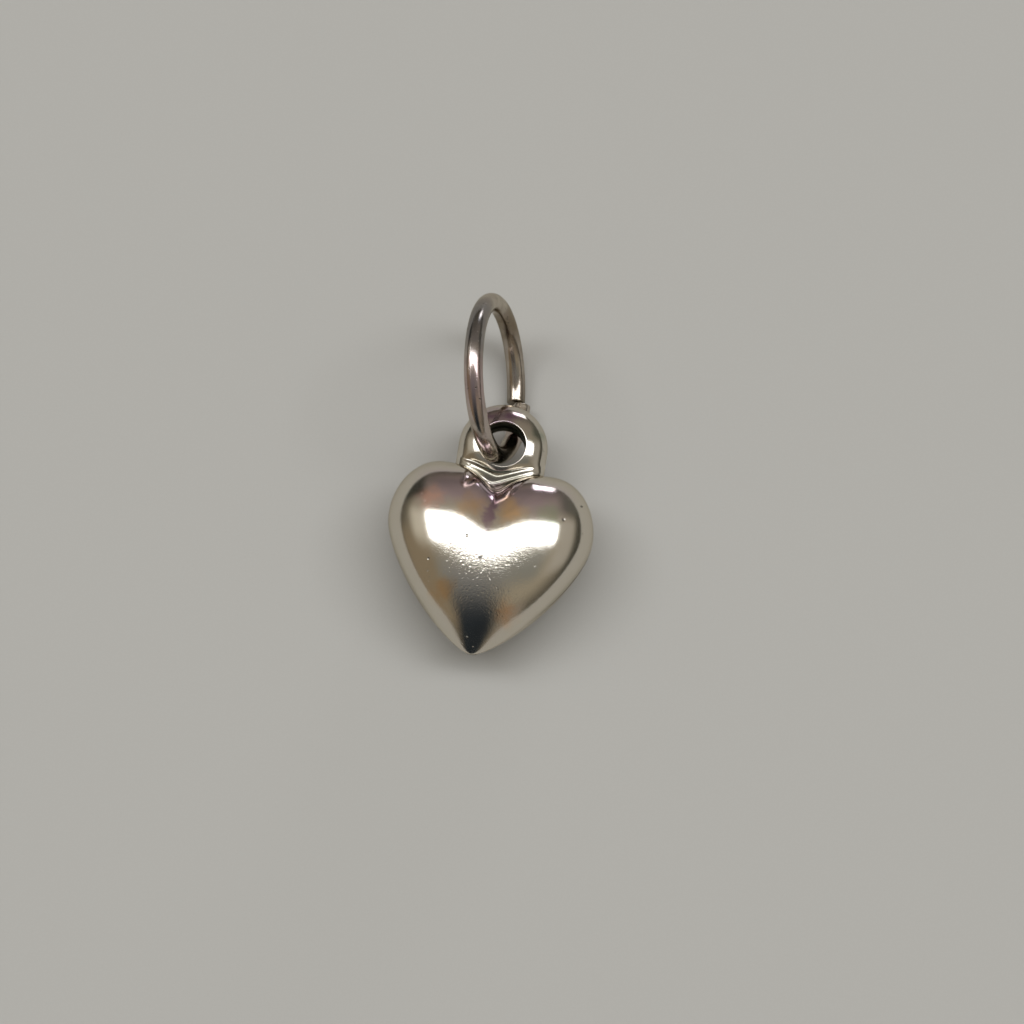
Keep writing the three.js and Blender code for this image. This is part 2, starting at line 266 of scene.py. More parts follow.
COLUMNS = len(outline_picks(0.0))
RIGHT_CORNER = FLANK_COLUMNS + ROUND_COLUMNS + SHOULDER_COLUMNS
LEFT_CORNER = COLUMNS - RIGHT_CORNER
print(COLUMNS, "columns round the heart; the eye's sides start at", RIGHT_CORNER, "and", LEFT_CORNER)

# %% [markdown]
# ## The eye and its neck
#
# The eye is an arch: a half round above the hole and two straight sides below it. It swells from that
# edge up to a bulb with the hole in its middle. Below the hole the press left a groove and two V-shaped
# ridges that step down to the lobes. All of that could be cut and joined with booleans. But it is one
# height above the seam for each place in the plan, so a height function is enough. Heights that meet
# are blended by the smooth maximum, which leaves the small fillet that a press leaves.

# %% The bulb round the hole
EYE_DEPTH, LEVEL_RADIUS = 0.99, 0.45
HOLE_RADIUS, LIP_RADIUS, LIP_DROP = 1.0972, 1.16, 0.06
SQUARENESS, SQUARE_START, SQUARE_BAND = 1.2, 1.6, 0.8
LOW_EDGE, LOW_START, LOW_BAND = 1.80, 0.4, 0.5


def bulb_height(x, y):
    """The bulb round the hole: a quarter ellipse from a level top, lost in the hole, to the arch's edge.

    Distances are round near the hole and grow squarer below it, as the arch's sides are straight there.
    Towards the foot the edge comes nearer, so that a groove is left. A short quarter ellipse rounds
    the lip."""
    radius = np.hypot(x, y)
    beyond = smooth_step((radius - SQUARE_START) / SQUARE_BAND)
    power = 2 + SQUARENESS * beyond * smooth_step(-y / SQUARE_START)
    away = (np.abs(x) ** power + np.abs(y) ** power) ** (1 / power)
    towards_foot = smooth_step((-y / radius - LOW_START) / LOW_BAND)
    width = EYE_RADIUS + (LOW_EDGE - EYE_RADIUS) * towards_foot - LEVEL_RADIUS
    at_lip = quarter((LIP_RADIUS - LEVEL_RADIUS) / width)
    height = EYE_DEPTH * quarter((away - LEVEL_RADIUS) / width) / at_lip
    return height - LIP_DROP * (1 - quarter((LIP_RADIUS - radius) / (LIP_RADIUS - HOLE_RADIUS)))


print("the bulb stands", bulb_height(0.0, LIP_RADIUS).round(3), "mm high where its lip starts")

# %% The neck with its two ridges
NECK_TOP, NECK_FALL, NECK_RISE, NECK_FOOT = 0.90, 0.30, 0.58, 0.3
NECK_END, NECK_END_BAND = 0.2, 0.6
ROOF_ROUND, APEX_ROUND = 0.12, 0.18
UPPER_APEX, UPPER_SLOPES = (-0.08, -1.60), (0.37, 0.45)
LOWER_APEX, LOWER_SLOPES = (-0.25, -2.04), (0.54, 0.47)
RIDGE_HEIGHT, RIDGE_WIDTH = 0.05, 0.10


def above_line(x, y, apex, slopes):
    """How far a place lies above a V whose two arms rise by their slopes from a rounded apex."""
    aside = x - apex[0]
    slope = np.where(aside < 0, slopes[0], slopes[1])
    return y - apex[1] - slope * (np.hypot(aside, APEX_ROUND) - APEX_ROUND)


def neck_height(x, y):
    """The neck: a roof whose rounded edge is the upper ridge, with the lower ridge on it as a bell.

    It rounds off at the sides as the bulb does, and dies away beside the hole."""
    upper = above_line(x, y, UPPER_APEX, UPPER_SLOPES)
    lower = above_line(x, y, LOWER_APEX, LOWER_SLOPES)
    slope = np.where(upper > 0, NECK_RISE, NECK_FALL)
    roof = NECK_TOP - slope * (np.hypot(upper, ROOF_ROUND) - ROOF_ROUND)
    ridge = RIDGE_HEIGHT * np.exp(-((lower / RIDGE_WIDTH) ** 2))
    across = quarter((np.abs(x) - LEVEL_RADIUS) / (EYE_RADIUS - LEVEL_RADIUS))
    return (np.clip(roof, NECK_FOOT, None) + ridge) * across * smooth_step((NECK_END - y) / NECK_END_BAND)


print("the neck's upper ridge stands", neck_height(*UPPER_APEX).round(3), "mm high at its apex")

# %% Bulb and neck in one, and where they are darkened between them, partly as dirt and partly as painted shade
FILLET, EDGE_FADE = 0.05, 0.3
GROOVE_WIDTH, GROOVE_START = 0.22, 0.9
# Below the groove the neck's foot is darkened too: partly dirt, partly painted shade that dims its ridges.
NECK_DIRT_AND_SHADE, NECK_DIRT_AND_SHADE_START, NECK_DIRT_AND_SHADE_BAND = 0.85, 1.1, 0.1
DIRT_AND_SHADE_FADE = 0.4


def bulb_and_neck(plan):
    """Both heights above the seam's edge for each place in the plan."""
    x, y = plan.real, plan.imag - EYE_Y
    return bulb_height(x, y), neck_height(x, y)


def filleted(a, b, reach):
    """The larger of two heights with a fillet of that reach, which shrinks away at the seam's edge."""
    return smooth_max(a, b, reach * np.clip(np.maximum(a, b) / EDGE_FADE, 0, 1))


def eye_height(plan):
    """The larger of the bulb and the neck, with a small fillet between them."""
    return filleted(*bulb_and_neck(plan), FILLET)


def eye_recess(plan):
    """How much dirt and painted shade the eye gets: a bell in the groove between bulb and neck, and a
    little less below.
    """
    below = EYE_Y - plan.imag
    bulb, neck = bulb_and_neck(plan)
    groove = np.exp(-(((bulb - neck) / GROOVE_WIDTH) ** 2))
    groove = groove * smooth_step((below - GROOVE_START) / DIRT_AND_SHADE_FADE)
    foot = NECK_DIRT_AND_SHADE * smooth_step((neck - bulb) / NECK_DIRT_AND_SHADE_BAND)
    foot = foot * smooth_step((below - NECK_DIRT_AND_SHADE_START) / DIRT_AND_SHADE_FADE)
    return np.maximum(groove, foot)


under_hole = 1j * (EYE_Y - np.linspace(HOLE_RADIUS, -UPPER_APEX[1], 50))
print("the groove under the hole is", eye_height(under_hole).min().round(3), "mm above the seam's edge")

# %% [markdown]
# ## One half as one closed skin
#
# A half is sheet, so its skin has an outside, an inside 0.35 mm within it, the turned-in wall of the
# hole and the edge that was soldered. Two grids make it. The first has the heart's columns and runs from
# the rim to the crown. The second has columns round the hole and runs from the arch's edge over the
# bulb, down the hole and back along the inside. They share the points where the lobes meet the neck, so
# nothing is left open. A Solidify modifier would also give a thickness, but would fold at the sharp lip.

# %% Grids, faces and meshes
SHARP_ANGLE = np.radians(50)


def grid_faces(index):
    """Four-cornered faces between the rows of a table of point numbers whose columns close round."""
    after = np.roll(index, -1, axis=1)
    return np.stack([index[:-1], after[:-1], after[1:], index[1:]], axis=-1).reshape(-1, 4)


def fan_faces(row, point):
    """Three-cornered faces from a closed row of point numbers to one point."""
    return np.stack([row, np.roll(row, -1), np.full_like(row, point)], axis=-1)


def new_piece(name, points, faces, **values):
    """A smooth mesh of points in millimetres, its sharp edges kept, with each value as a number a point."""
    mesh = bpy.data.meshes.new(name)
    mesh.from_pydata((points * MM).tolist(), [], [face for group in faces for face in group.tolist()])
    mesh.polygons.foreach_set("use_smooth", np.ones(len(mesh.polygons), bool))
    mesh.set_sharp_from_angle(angle=SHARP_ANGLE)
    for label, numbers in values.items():
        mesh.attributes.new(label, "FLOAT", "POINT").data.foreach_set("value", np.ravel(numbers))
    piece = bpy.data.objects.new(name, mesh)
    bpy.context.scene.collection.objects.link(piece)
    triangles = sum(len(polygon.vertices) - 2 for polygon in mesh.polygons)
    print(name, "has", len(mesh.vertices), "points and", triangles, "triangles")
    return piece


print("a closed grid of 2 rows by 3 columns has", len(grid_faces(np.arange(6).reshape(2, 3))), "faces")

# %% The heart's own grid and the arch's edge
ROWS, INNER_ROWS = 140, 16
SIDE_COUNT, ARCH_COUNT = 24, 112
LOBE_FILLET, LOBE_RECESS_WIDTH = 0.10, 0.35


def dome_angles(count):
    """Dome angles from the rim up, as a column, without the crown itself."""
    return np.linspace(0, np.pi / 2, count, endpoint=False)[:, None]


def outside_of_lobes(valley):
    """Plan, height and recess of the outside: the dome, blended with the lower end of the neck.

    The recess is a bell where the two heights are near each other. It darkens that crease, partly as dirt
    and partly as painted shade."""
    plan, height = dome(dome_angles(ROWS), 0.0, outline_picks(0.0), valley)
    inside = (np.abs(plan.real) < EYE_RADIUS) & (plan.imag > 0)
    neck = np.where(inside, eye_height(plan), 0)
    recess = np.where(inside, np.exp(-(((height - neck) / LOBE_RECESS_WIDTH) ** 2)), 0)
    return plan, filleted(height, neck, LOBE_FILLET), recess


def arch_edge(inset, right_foot):
    """The arch's edge from its right foot over the top to its left foot, without the two feet."""
    radius = EYE_RADIUS - inset
    way_up = np.linspace(0, 1, SIDE_COUNT, endpoint=False)[1:]
    side = right_foot + (radius + 1j * EYE_Y - right_foot) * way_up
    over = 1j * EYE_Y + radius * np.exp(1j * np.linspace(0, np.pi, ARCH_COUNT + 1))
    return np.hstack([side, over, -np.conj(side[::-1])])


print("the lobes have", ROWS, "rows of", COLUMNS, "points")

# %% The eye's grid, from the arch's edge over the lip and back along the inside
WALL = 0.35
BULB_ROWS, WALL_ROWS, END_ROWS, BACK_ROWS, CEILING_ROWS = 52, 8, 3, 2, 6
HOLE_END = 0.19
CEILING_REACH, CEILING_LOW = 0.97, 0.05


def steps(count):
    """That many even steps up to 1, without 0, as a column."""
    return np.linspace(0, 1, count + 1)[1:, None]


def eye_rows(border, inner_border):
    """Plan, height and recess of the rows round the hole, between the outer border and the inner one.

    They run in to the lip, down the hole's wall, across its end, up its back and out along the ceiling,
    which lies one wall below the outside. Towards the lip and the border the rows lie closer, as the
    cosine does at its ends."""
    way = (border - 1j * EYE_Y) / np.abs(border - 1j * EYE_Y)
    lip = 1j * EYE_Y + HOLE_RADIUS * way
    inwards = (1 - np.cos(np.linspace(0, np.pi, BULB_ROWS + 1)[1:, None])) / 2
    bulb = border + (lip - border) * inwards
    bulb_z = eye_height(bulb)
    wall = np.repeat(lip[None], WALL_ROWS, axis=0)
    wall_z = bulb_z[-1] + (HOLE_END - bulb_z[-1]) * steps(WALL_ROWS)
    end = lip + WALL * way * steps(END_ROWS)
    ceiling = end[-1] + (inner_border - end[-1]) * np.linspace(0, CEILING_REACH, CEILING_ROWS)[:, None]
    ceiling_z = np.maximum(eye_height(ceiling) - WALL, CEILING_LOW)
    back = np.repeat(end[-1:], BACK_ROWS, axis=0)
    back_z = HOLE_END + (ceiling_z[0] - HOLE_END) * steps(BACK_ROWS + 1)[:-1]
    plan = np.vstack([bulb, wall, end, back, ceiling])
    height = np.vstack([bulb_z, wall_z, np.full(end.shape, HOLE_END), back_z, ceiling_z])
    # The hole's wall and the inside get the full recess, so the finish paints them darkest: partly painted
    # shade, partly dirt.
    dark_hole_and_inside = np.ones((len(plan) - len(bulb), plan.shape[1]))
    return plan, height, np.vstack([eye_recess(bulb), dark_hole_and_inside])


inside_rows = WALL_ROWS + END_ROWS + BACK_ROWS + CEILING_ROWS
print("the eye has", BULB_ROWS, "rows outside and", inside_rows, "inside")

# %% The points of one half
BETWEEN = np.arange(LEFT_CORNER, RIGHT_CORNER - 1, -1)


def half_groups(valley):
    """Six groups of points of one half, each as its plan, height and recess, with the rim at height 0.

    They are the heart's outside and inside, the eye's rows, the arch's outer and inner edge, and the
    two crowns."""
    heart, heart_z, heart_recess = outside_of_lobes(valley)
    inner, inner_z = dome(dome_angles(INNER_ROWS), WALL, outline_picks(WALL), valley)
    arch = arch_edge(0.0, heart[0, RIGHT_CORNER])
    inner_arch = arch_edge(WALL, inner[0, RIGHT_CORNER])
    border = np.hstack([arch, heart[0, BETWEEN]])
    inner_border = np.hstack([inner_arch, inner[0, BETWEEN]])
    crowns = np.zeros(2)
    return [
        (heart, heart_z, heart_recess),
        (inner, inner_z, 0 * inner_z),
        eye_rows(border, inner_border),
        (arch, 0 * arch.real, 0 * arch.real),
        (inner_arch, 0 * inner_arch.real, 0 * inner_arch.real),
        (crowns, DOME_DEPTH - valley * valley_depth(crowns) - [0, WALL], crowns),
    ]


def joined(groups):
    """All groups in one list of points, as x, y and height, and their recess values."""
    plan, height, recess = [np.hstack([np.ravel(part) for part in parts]) for parts in zip(*groups)]
    return np.stack([plan.real, plan.imag, height], axis=-1), recess


front_groups = half_groups(1.0)
half, half_recess = joined(front_groups)
print("one half has", len(half), "points and stands", half[:, 2].max().round(3), "mm high")

# %% The faces of one half
def half_skin(groups):
    """Faces over the groups, and the point numbers along the outer and the inner soldered edge."""
    plans = [plan for plan, _, _ in groups]
    starts = np.cumsum([0] + [plan.size for plan in plans])
    heart, inner, eye, arch, inner_arch, crowns = [
        start + np.arange(plan.size).reshape(plan.shape) for start, plan in zip(starts, plans)]
    border = np.hstack([arch, heart[0, BETWEEN]])
    inner_border = np.hstack([inner_arch, inner[0, BETWEEN]])
    away = np.r_[LEFT_CORNER:COLUMNS, 0 : RIGHT_CORNER + 1]
    outer_edge = np.hstack([heart[0, away], arch])
    inner_edge = np.hstack([inner[0, away], inner_arch])
    faces = [
        grid_faces(heart), fan_faces(heart[-1], crowns[0]),
        grid_faces(inner)[:, ::-1], fan_faces(inner[-1], crowns[1])[:, ::-1],
        grid_faces(np.vstack([border, eye, inner_border])),
        grid_faces(np.vstack([inner_edge, outer_edge])),
    ]
    return faces, outer_edge, inner_edge


half_faces, outer_edge, inner_edge = half_skin(front_groups)
print("one half has", sum(len(group) for group in half_faces), "faces,",
      "and", len(outer_edge), "points round its edge")

# %% [markdown]
# ## Front and back
#
# Both halves come from one press, so the back is the front turned over about the y axis, but without the
# valley. It lies on its crown and has worn a small flat there, which is a smooth minimum with a level
# plane. The ring hangs on the back's lip and has rubbed it rounder. A Mirror modifier would be quicker,
# but the back would then be as new as the front.

# %% The two halves in place
BACK_FLAT, FLAT_EASING = crown[2] - back_low[2] - HALF_SOLDER, 0.01
RUB_RADIUS, RUB_DEPTH = 1.24, 0.13


def in_place(points, turn):
    """The half moved out by half the solder and set on the crown's place; turn -1 turns it over."""
    lifted = points + [0, 0, HALF_SOLDER]
    return lifted * [turn, 1, turn] + crown


def rubbed(points):
    """The half with its lip rubbed down, by a quarter circle from the rub's radius in to the hole.

    The rub dies away down the hole's wall."""
    away = np.hypot(points[:, 0], points[:, 1] - EYE_Y)
    fall = 1 - quarter((RUB_RADIUS - away) / (RUB_RADIUS - HOLE_RADIUS))
    above = smooth_step((points[:, 2] - HOLE_END) / RUB_DEPTH)
    return points - RUB_DEPTH * (fall * above)[:, None] * [0, 0, 1]


worn = rubbed(joined(half_groups(0.0))[0])
worn[:, 2] = smooth_min(worn[:, 2], BACK_FLAT, FLAT_EASING)
front_half = new_piece("front_half", in_place(half, 1), half_faces, recess=half_recess)
back_half = new_piece("back_half", in_place(worn, -1), half_faces, recess=half_recess)
for piece, node in ((front_half, "front_shell"), (back_half, "back_shell")):
    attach(piece, "heart")
    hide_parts(node)

# %% [markdown]
# ## The solder line
#
# The halves don't quite touch: a thin line of solder fills the joint and sits a little back from the
# surface, so it shows as a fine dark line round the side. A curve with a bevel could follow the rim, but
# would fold at the tip. So it is a flat band with a hollow face, carried round the edge. Its place across
# the wall is a share of the way from the outer edge to the inner one, so no offset curve is needed.

# %% The band of solder
BAND_SHARES = np.array([0.15, 0.19, 0.21, 0.19, 0.15, 0.6, 0.95, 0.95])
BAND_LEVELS = np.array([1, 0.5, 0, -0.5, -1, -1, -1, 1])


def solder_band():
    """Points and faces of the band: eight corners of a section, carried along the edge and closed."""
    outer, inner = half[outer_edge, :2], half[inner_edge, :2]
    across = outer + (inner - outer) * BAND_SHARES[:, None, None]
    level = BAND_LEVELS[:, None] * HALF_SOLDER + np.zeros(across.shape[:2])
    points = np.concatenate([across, level[..., None]], axis=-1) + crown
    number = np.arange(level.size).reshape(level.shape)
    return points.reshape(-1, 3), [grid_faces(np.vstack([number, number[:1]])[::-1])]


solder_line = new_piece("solder_line", *solder_band())
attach(solder_line, "heart")
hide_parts("solder_seam")

# %% [markdown]
# ## The jump ring
#
# The ring is round wire, wound on a rod, cut and closed by hand. One end was left bent a little aside, so
# it is a tube along a circle whose first third drifts off the plane. A torus would be quicker, but has no
# cut. The ends are cut flat, with their edges rubbed down.

# %% The ring's place and the path of its wire
RING_RADIUS = 3.7
RING_OFFSET = np.array([-0.85608, 3.10371, 1.25844])  # the ring's middle from the eye's, as constructed
RING_SWING, RING_LEAN, RING_CUT_ANGLE = np.radians([7.3, 15.9, 264])
CUT_WIDTH, END_OFFSET, END_BEND = 0.12, 0.3, 0.3
RING_STEPS = 360

ring_centre = crown + (RING_OFFSET + [0, EYE_Y, 0])
ring_cut = CUT_WIDTH / RING_RADIUS

outwards = np.array([-np.sin(RING_SWING), np.cos(RING_SWING), 0])
aside = np.array([-np.cos(RING_SWING), -np.sin(RING_SWING), 0])
upwards = np.array([0, 0, np.cos(RING_LEAN)]) + aside * np.sin(RING_LEAN)
ring_axis = np.cross(outwards, upwards)


def unit(vectors):
    """Each vector divided by its length."""
    return vectors / np.linalg.norm(vectors, axis=1, keepdims=True)


def wire_path(share):
    """Points of the wire's middle, its direction and two directions square to it, at shares of its length.

    The path is a circle plus an offset along the axis that dies away as the square of the way left."""
    turn = RING_CUT_ANGLE - ring_cut / 2 - share * (2 * np.pi - ring_cut)
    radial = np.cos(turn)[:, None] * outwards + np.sin(turn)[:, None] * upwards
    drift = END_OFFSET * np.clip(1 - share / END_BEND, 0, None) ** 2
    path = ring_centre + RING_RADIUS * radial + drift[:, None] * ring_axis
    along = unit(np.gradient(path, axis=0))
    normal = unit(radial - np.sum(radial * along, axis=1, keepdims=True) * along)
    return path, along, normal, np.cross(along, normal)


ring_share = np.linspace(0, 1, RING_STEPS + 1)
ring_ends = wire_path(ring_share)[0][[0, -1]]
print("the ring's ends are", np.linalg.norm(ring_ends[1] - ring_ends[0]).round(3), "mm apart")

# %% The ring as a tube with rounded flat ends
WIRE_RADIUS, WIRE_SIDES = 0.45, 48
# One row for each circle at a cut end: its share of the wire's radius, and how far in it lies.
CUT_ROWS = np.array([[0.35, 0], [0.7, 0], [0.9, 0.006], [0.965, 0.02], [0.99, 0.045]])


def ring_tube(share):
    """Points, faces, length and turn of the wire: circles square to its path, smaller at the cut ends."""
    path, along, normal, binormal = wire_path(share)
    cut, cut_in = CUT_ROWS[:, 0], CUT_ROWS[:, 1:]
    whole = np.arange(2, RING_STEPS - 1)
    size = np.hstack([cut, np.ones(len(whole)), cut[::-1]])
    middles = np.vstack([path[0] + cut_in * along[0], path[whole], path[-1] - cut_in[::-1] * along[-1]])
    which = np.hstack([np.zeros(len(cut), int), whole, np.full(len(cut), RING_STEPS)])
    around = np.linspace(0, 2 * np.pi, WIRE_SIDES, endpoint=False)
    circle = (np.cos(around)[:, None] * normal[which][:, None]
              + np.sin(around)[:, None] * binormal[which][:, None])
    tube = middles[:, None] + WIRE_RADIUS * size[:, None, None] * circle
    points = np.vstack([tube.reshape(-1, 3), path[0], path[-1]])
    number = np.arange(len(size) * WIRE_SIDES).reshape(-1, WIRE_SIDES)
    start, stop = number.size, number.size + 1
    faces = [grid_faces(number), fan_faces(number[0], start)[:, ::-1], fan_faces(number[-1], stop)]
    length = np.hstack([np.repeat(share[which] * 2 * np.pi * RING_RADIUS, WIRE_SIDES), 0, 0])
    spin = np.hstack([np.tile(around, len(size)), 0, 0])
    return points, faces, length, spin


points, faces, length, spin = ring_tube(ring_share)
wire_ring = new_piece("wire_ring", points, faces, length=length, spin=spin)
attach(wire_ring, "ring")
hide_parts("jump_ring")

# %% [markdown]
# ## Words for shader nodes
#
# The finishes, the paper and the room are all node trees, and they use the same few nodes again and
# again: arithmetic, a soft fade, a noise, a mix of two colours. They could be laid out by hand in the
# shader editor. Two small classes that give each of them a short word let the trees below be read as
# recipes.

# %% A node tree with words for arithmetic
class Sums:
    """A node tree under construction. Each word adds a node and gives back its output."""

    def __init__(self, tree):
        self.tree = tree
        tree.nodes.clear()

    def node(self, kind, inputs, **settings):
        """A node with its settings, each input set to a value or linked to another output."""
        made = self.tree.nodes.new("ShaderNode" + kind)
        for label, value in settings.items():
            setattr(made, label, value)
        for label, value in inputs.items():
            if isinstance(value, bpy.types.NodeSocket):
                self.tree.links.new(value, made.inputs[label])
            else:
                made.inputs[label].default_value = value
        return made

    def math(self, operation, a, b=0.0):
        """One operation on two numbers."""
        return self.node("Math", {0: a, 1: b}, operation=operation).outputs[0]

    def times(self, a, b):
        """The product of two numbers."""
        return self.math("MULTIPLY", a, b)

    def plus(self, a, b):
        """The sum of two numbers."""
        return self.math("ADD", a, b)

    def less(self, a, b):
        """The first number less the second."""
        return self.math("SUBTRACT", a, b)

    def vectors(self, operation, a, b, c=(0, 0, 0)):
        """One operation on two or three vectors, as a vector."""
        return self.node("VectorMath", {0: a, 1: b, 2: c}, operation=operation).outputs[0]


def words(kind):
    """The names of a class's own words."""
    return [word for word in vars(kind) if not word.startswith("_")]


print("words for arithmetic:", words(Sums))

# %% The same tree with words for patterns and finishes
class Recipe(Sums):
    """A node tree that also has words for fades, noises, places, colours and the surface at its end."""

    def fade(self, value, start, stop):
        """A number that eases from 0 where the value is start to 1 where it is stop."""
        inputs = {"Value": value, "From Min": start, "From Max": stop}
        return self.node("MapRange", inputs, interpolation_type="SMOOTHSTEP").outputs[0]

    def scale(self, value, low, high):
        """A number between 0 and 1 spread out from low to high."""
        return self.node("MapRange", {"Value": value, "To Min": low, "To Max": high}).outputs[0]

    def noise(self, vector, scale, detail=2.0, roughness=0.5):
        """Soft noise between 0 and 1, with that many waves to a unit."""
        inputs = {"Vector": vector, "Scale": scale, "Detail": detail, "Roughness": roughness}
        return self.node("TexNoise", inputs).outputs["Fac"]

    def dots(self, vector, scale, edge, middle):
        """Dots strewn at that many to a unit: 0 at the distance edge from a dot's middle, 1 at middle."""
        away = self.node("TexVoronoi", {"Vector": vector, "Scale": scale}).outputs["Distance"]
        return self.fade(away, edge, middle)

    def mix(self, amount, a, b):
        """Colour a turning into colour b."""
        return self.node("Mix", {0: amount, 6: a, 7: b}, data_type="RGBA").outputs[2]

    def spread(self, vector, turn=0.0, size=(1, 1, 1), shift=(0, 0, 0)):
        """A vector scaled, turned about z and shifted."""
        inputs = {"Vector": vector, "Location": shift, "Rotation": (0, 0, turn), "Scale": size}
        return self.node("Mapping", inputs).outputs[0]

    def millimetres(self, origin=(0, 0, 0)):
        """The object's own coordinates in millimetres from an origin."""
        place = self.node("TexCoord", {}).outputs["Object"]
        return self.spread(place, size=(1 / MM, 1 / MM, 1 / MM), shift=[-value for value in origin])

    def spot(self, vector, x, y, size, soft):
        """1 within a round spot of the plan and 0 outside it, fading over the width soft."""
        flat = self.vectors("MULTIPLY", vector, (1, 1, 0))
        away = self.node("VectorMath", {0: flat, 1: (x, y, 0)}, operation="DISTANCE").outputs["Value"]
        return self.fade(away, size + soft / 2, size - soft / 2)

    def bump(self, height, distance):
        """A normal tilted by a height between 0 and 1, which stands for that distance in metres."""
        return self.node("Bump", {"Height": height, "Distance": distance, "Strength": 1.0}).outputs[0]

    def surface(self, **inputs):
        """The tree's end: a surface with those inputs, their labels written with _ for a space."""
        named = {label.replace("_", " "): value for label, value in inputs.items()}
        shader = self.node("BsdfPrincipled", named)
        self.node("OutputMaterial", {0: shader.outputs[0]})


def new_finish(name):
    """A node material and its recipe."""
    material = bpy.data.materials.new(name)
    material.use_nodes = True
    return material, Recipe(material.node_tree)


print("words for finishes:", words(Recipe))

# %% [markdown]
# ## Worn silver for the halves
#
# Old silver is a mirror with a history. Fingers and cloth keep the crown bright but scour it to a fine
# satin of grain and specks, while the lobes near the neck keep a thin film of tarnish that goes mauve,
# amber and purple. Small pits and hair scratches are left all over, and the creases, the groove and the
# hole's wall are darkened, partly as dirt and partly as painted shade. A painted picture could hold all
# that, but would have to be unwrapped and would blur close up. Here the film is placed on the object's
# own coordinates, in millimetres from the crown, and its edges are broken up by noise. The creases are
# known from the number that each point of the mesh carries.

# %% The film of tarnish
SILVER, DULL_SILVER, DULL_AMOUNT = (0.70, 0.655, 0.575, 1), (0.62, 0.56, 0.46, 1), 0.5
LOBE_FILM, LOBE_AMOUNT = (0.62, 0.50, 0.57, 1), 0.85
LOBE_LOW, LOBE_SIDE, LOBE_HIGH, LOBE_RAGGED = (0.8, 1.7), (4.2, 2.4), (3.2, 2.4), 0.5
EYE_FILM, EYE_AMOUNT, EYE_SPOT = (0.50, 0.46, 0.40, 1), 0.75, (0.0, EYE_Y, 1.9, 0.8)
VALLEY_FILM, VALLEY_AMOUNT = (0.42, 0.29, 0.38, 1), 0.85
VALLEY_SQUEEZE, VALLEY_SPOT = (2.2, 0.62, 1), (-0.05, 0.75, 0.55, 0.7)
CLOUD_WAVES, PUSH_WAVES, PUSH = 0.9, 1.5, (1.2, 1.2, 0)
# Each tint: x and y from the crown, size and width of the soft edge in mm, amount and colour.
TINTS = [
    (-0.95, 1.15, 0.45, 1.2, 0.9, (0.80, 0.57, 0.36, 1)),
    (0.95, 1.25, 0.45, 1.1, 0.95, (0.95, 0.66, 0.38, 1)),
    (-3.05, 1.45, 0.45, 0.9, 0.9, (0.92, 0.60, 0.50, 1)),
    (2.80, 1.45, 0.40, 1.1, 0.8, (0.52, 0.58, 0.45, 1)),
    (0.2, 6.10, 0.40, 0.7, 0.9, (0.36, 0.22, 0.33, 1)),
    (-0.7, 6.00, 0.4, 0.8, 0.9, (0.38, 0.24, 0.34, 1)),
    (1.6, 5.45, 0.3, 0.8, 0.7, (0.34, 0.38, 0.29, 1)),
    (-1.65, -2.90, 0.40, 1.0, 0.7, (0.74, 0.50, 0.27, 1)),
    (1.30, -3.50, 0.40, 1.0, 0.7, (0.80, 0.52, 0.30, 1)),
]


def lobe_film(r, place, cloud):
    """Where the lobes keep their film: above a ragged edge, up to the neck, and not on the outer sides."""
    x, y = r.node("SeparateXYZ", {0: place}).outputs[:2]
    ragged = r.plus(y, r.scale(cloud, -LOBE_RAGGED, LOBE_RAGGED))
    lobes = r.times(r.fade(ragged, *LOBE_LOW), r.fade(r.math("ABSOLUTE", x), *LOBE_SIDE))
    return r.times(lobes, r.fade(y, *LOBE_HIGH))


def tarnish(r, place):
    """The silver's colour: a plain tone, with each tint of tarnish mixed in where it grew.

    The tints are placed on coordinates that a noise has pushed about, so their edges are loose."""
    cloud = r.noise(place, CLOUD_WAVES, 3.0)
    push = r.node("TexNoise", {"Vector": place, "Scale": PUSH_WAVES, "Detail": 3.0}).outputs["Color"]
    push = r.vectors("SUBTRACT", push, (0.5, 0.5, 0.5))
    loose = r.vectors("MULTIPLY_ADD", push, PUSH, place)
    colour = r.mix(r.scale(cloud, 0.0, DULL_AMOUNT), SILVER, DULL_SILVER)
    colour = r.mix(r.times(lobe_film(r, place, cloud), LOBE_AMOUNT), colour, LOBE_FILM)
    colour = r.mix(r.times(r.spot(place, *EYE_SPOT), EYE_AMOUNT), colour, EYE_FILM)
    for x, y, size, soft, amount, tint in TINTS:
        colour = r.mix(r.times(r.spot(loose, x, y, size, soft), amount), colour, tint)
    valley = r.spot(r.spread(loose, size=VALLEY_SQUEEZE), *VALLEY_SPOT)
    return r.mix(r.times(valley, VALLEY_AMOUNT), colour, VALLEY_FILM)


print("the film has", len(TINTS), "tints of its own")

# %% Pits, grain and scratches
# Each pit: x and y from the crown and its size, in mm.
PITS = [
    (-0.15, -1.35, 0.09), (-0.95, -0.35, 0.07), (3.45, 1.25, 0.06), (4.2, 2.2, 0.06), (-2.6, -1.6, 0.05)]
PIT_WAVES, PIT_EDGE, PIT_MIDDLE = 2.3, 0.13, 0.03
PIT_FIELD_WAVES, PIT_FIELD = 0.7, (0.52, 0.66)
SPECK_WAVES, SPECK_EDGE, SPECK_MIDDLE = 5.0, 0.32, 0.06
GRAIN_WAVES, GRAIN_WORN, GRAIN_SATIN = 10.0, (0.12, 0.6), 1.4
# Each way that hair scratches run: its turn in radians, and how many waves to a mm each axis gets.
HAIR_WAYS, HAIR_DEPTH = [(0.5, (2.2, 26, 6)), (-0.9, (1.8, 30, 6))], 0.07


def pitting(r, place):
    """1 in a pit and 0 beside it: strewn pits where a slow noise lets them be, and a few placed ones."""
    field = r.fade(r.noise(place, PIT_FIELD_WAVES), *PIT_FIELD)
    pits = r.times(r.dots(place, PIT_WAVES, PIT_EDGE, PIT_MIDDLE), field)
    for x, y, size in PITS:
        pits = r.math("MAXIMUM", pits, r.spot(place, x, y, size, size))
    return pits


